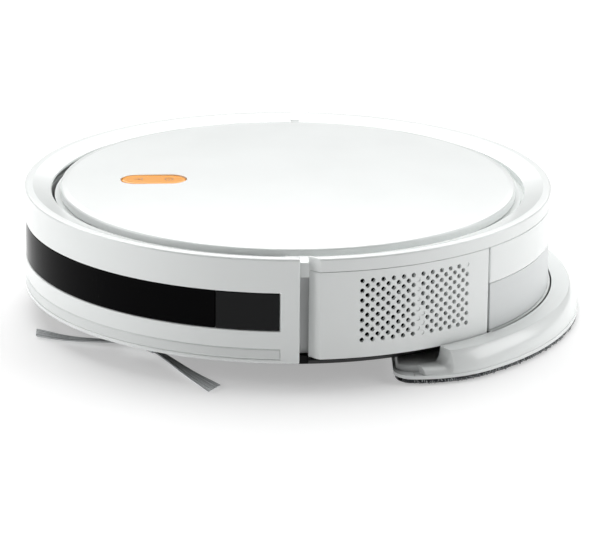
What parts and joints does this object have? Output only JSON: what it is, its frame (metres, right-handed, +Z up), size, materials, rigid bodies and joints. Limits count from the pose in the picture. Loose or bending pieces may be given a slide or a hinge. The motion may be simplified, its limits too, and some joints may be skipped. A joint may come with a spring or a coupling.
{
  "type": "robot vacuum",
  "caption": "Round robot vacuum with a sprung front bumper, a raised lid with a rocker key, side vents, sweeping brushes and a slide-off mop plate at the rear.",
  "frame": {"origin": "on the floor, under the middle of the whole object's box", "axes": "+Z up, -Y the way the robot drives, +X the robot's left"},
  "size_m": [0.3354, 0.3438, 0.08],
  "materials": {
    "white_abs": "glossy white moulded ABS",
    "strip_tpu": "satin white soft bumper strip",
    "inner_white": "satin white ABS",
    "window_black": "high-gloss infrared-clear black polycarbonate",
    "window_grey": "gloss dark grey polycarbonate",
    "black_abs": "fine-textured black ABS",
    "tyre_rubber": "matt ribbed rubber",
    "grey_abs": "satin grey ABS",
    "brush_pale": "satin pale grey polypropylene",
    "bristle_nylon": "grey and black nylon bristles",
    "brush_fins": "dark rubber and bristle fins",
    "steel": "zinc-plated steel",
    "contact_plate": "nickel-gold plated contact",
    "sensor_red": "dark red infrared window",
    "battery_wrap": "blue shrink wrap",
    "board_green": "green solder mask",
    "smoke_box": "smoke grey polycarbonate",
    "tank_frost": "frosted translucent polypropylene",
    "filter_paper": "pleated filter paper",
    "key_orange": "orange translucent key cap",
    "mop_cloth": "grey microfibre"
  },
  "bodies": {
    "chassis": {"base_plate": "black_abs", "battery_door": "black_abs", "left_door_screw": "steel", "right_door_screw": "steel", "battery_pack": "battery_wrap", "front_cliff_window": "sensor_red", "left_cliff_window": "sensor_red", "right_cliff_window": "sensor_red", "left_charging_contact": "contact_plate", "right_charging_contact": "contact_plate", "upper_shell": "white_abs", "top_lid": "white_abs", "left_side_panel": "white_abs", "right_side_panel": "white_abs", "inner_wall": "inner_white", "left_bumper_spring": "steel", "right_bumper_spring": "steel", "left_wheel_spring": "steel", "right_wheel_spring": "steel", "caster_socket": "black_abs", "suction_chamber": "black_abs", "brush_gearbox": "black_abs", "brush_motor": "steel", "left_side_brush_motor": "steel", "right_side_brush_motor": "steel", "fan_housing": "black_abs", "fan_motor": "steel", "speaker": "black_abs", "main_board": "board_green", "dock_switch": "black_abs", "power_switch": "black_abs"},
    "bumper": {"bumper_shell": "white_abs", "sensor_window": "window_black", "left_window_end": "window_grey", "right_window_end": "window_grey", "bumper_strip": "strip_tpu"},
    "left_suspension": {"left_wheel_arm": "black_abs"},
    "right_suspension": {"right_wheel_arm": "black_abs"},
    "left_wheel": {"left_wheel_hub": "grey_abs", "left_wheel_tyre": "tyre_rubber"},
    "right_wheel": {"right_wheel_hub": "grey_abs", "right_wheel_tyre": "tyre_rubber"},
    "caster": {"caster_fork": "black_abs"},
    "caster_roller": {"caster_wheel": "grey_abs"},
    "main_brush": {"main_brush": "brush_fins"},
    "brush_guard": {"brush_guard": "black_abs"},
    "left_side_brush": {"left_side_brush_hub": "brush_pale", "left_side_brush_bristles": "bristle_nylon"},
    "right_side_brush": {"right_side_brush_hub": "brush_pale", "right_side_brush_bristles": "bristle_nylon"},
    "fan": {"fan_impeller": "brush_pale"},
    "control_key": {"control_key": "key_orange"},
    "dust_module": {"dust_box": "smoke_box", "water_tank": "tank_frost", "rear_cover": "white_abs", "dust_filter": "filter_paper"},
    "inlet_flap": {"inlet_flap": "black_abs"},
    "release_button": {"release_button": "grey_abs"},
    "mop": {"mop_holder": "white_abs", "mop_pad": "mop_cloth"}
  },
  "joints": [
    {"name": "bumper_press", "type": "slide", "parent": "chassis", "child": "bumper", "axis": [0, 1, 0], "range_m": [0, 0.004], "stiffness_N_per_m": 250, "springref_m": -0.004, "deforming": ["left_bumper_spring", "right_bumper_spring"]},
    {"name": "left_wheel_drop", "type": "hinge", "parent": "chassis", "child": "left_suspension", "pos_m": [0.088, -0.0535, 0.038], "axis": [-1, 0, 0], "range_deg": [0, 24], "stiffness_Nm_per_rad": 0.25, "springref_deg": 40.11, "deforming": ["left_wheel_spring"]},
    {"name": "left_wheel_spin", "type": "hinge", "parent": "left_suspension", "child": "left_wheel", "pos_m": [0.105, -0.0035, 0.034], "axis": [-1, 0, 0], "continuous": true},
    {"name": "right_wheel_drop", "type": "hinge", "parent": "chassis", "child": "right_suspension", "pos_m": [-0.088, -0.0535, 0.038], "axis": [-1, 0, 0], "range_deg": [0, 24], "stiffness_Nm_per_rad": 0.25, "springref_deg": 40.11, "deforming": ["right_wheel_spring"]},
    {"name": "right_wheel_spin", "type": "hinge", "parent": "right_suspension", "child": "right_wheel", "pos_m": [-0.105, -0.0035, 0.034], "axis": [-1, 0, 0], "continuous": true},
    {"name": "caster_swivel", "type": "hinge", "parent": "chassis", "child": "caster", "pos_m": [0, -0.1315, 0.026], "axis": [0, 0, 1], "continuous": true},
    {"name": "caster_roll", "type": "hinge", "parent": "caster", "child": "caster_roller", "pos_m": [0, -0.128, 0.0095], "axis": [-1, 0, 0], "continuous": true},
    {"name": "main_brush_spin", "type": "hinge", "parent": "chassis", "child": "main_brush", "pos_m": [0, -0.0015, 0.0195], "axis": [1, 0, 0], "continuous": true},
    {"name": "brush_guard_open", "type": "hinge", "parent": "chassis", "child": "brush_guard", "pos_m": [0, -0.03, 0.0102], "axis": [-1, 0, 0], "range_deg": [0, 35]},
    {"name": "left_side_brush_spin", "type": "hinge", "parent": "chassis", "child": "left_side_brush", "pos_m": [0.095, -0.0975, 0.008], "axis": [0, 0, 1], "continuous": true},
    {"name": "right_side_brush_spin", "type": "hinge", "parent": "chassis", "child": "right_side_brush", "pos_m": [-0.095, -0.0975, 0.008], "axis": [0, 0, 1], "continuous": true},
    {"name": "fan_spin", "type": "hinge", "parent": "chassis", "child": "fan", "pos_m": [0.11, 0.0545, 0.046], "axis": [0, 0, 1], "continuous": true},
    {"name": "control_key_rock", "type": "hinge", "parent": "chassis", "child": "control_key", "pos_m": [0, -0.0925, 0.077], "axis": [1, 0, 0], "range_deg": [-1, 1], "stiffness_Nm_per_rad": 0.2},
    {"name": "dust_module_slide", "type": "slide", "parent": "chassis", "child": "dust_module", "axis": [0, 1, 0], "range_m": [0, 0.12]},
    {"name": "inlet_flap_swing", "type": "hinge", "parent": "dust_module", "child": "inlet_flap", "pos_m": [0, 0.0435, 0.0474], "axis": [1, 0, 0], "range_deg": [0, 70]},
    {"name": "release_button_press", "type": "slide", "parent": "dust_module", "child": "release_button", "axis": [0, -1, 0], "range_m": [0, 0.0025], "stiffness_N_per_m": 300},
    {"name": "mop_slide", "type": "slide", "parent": "chassis", "child": "mop", "axis": [0, 1, 0], "range_m": [0, 0.06]}
  ]
}
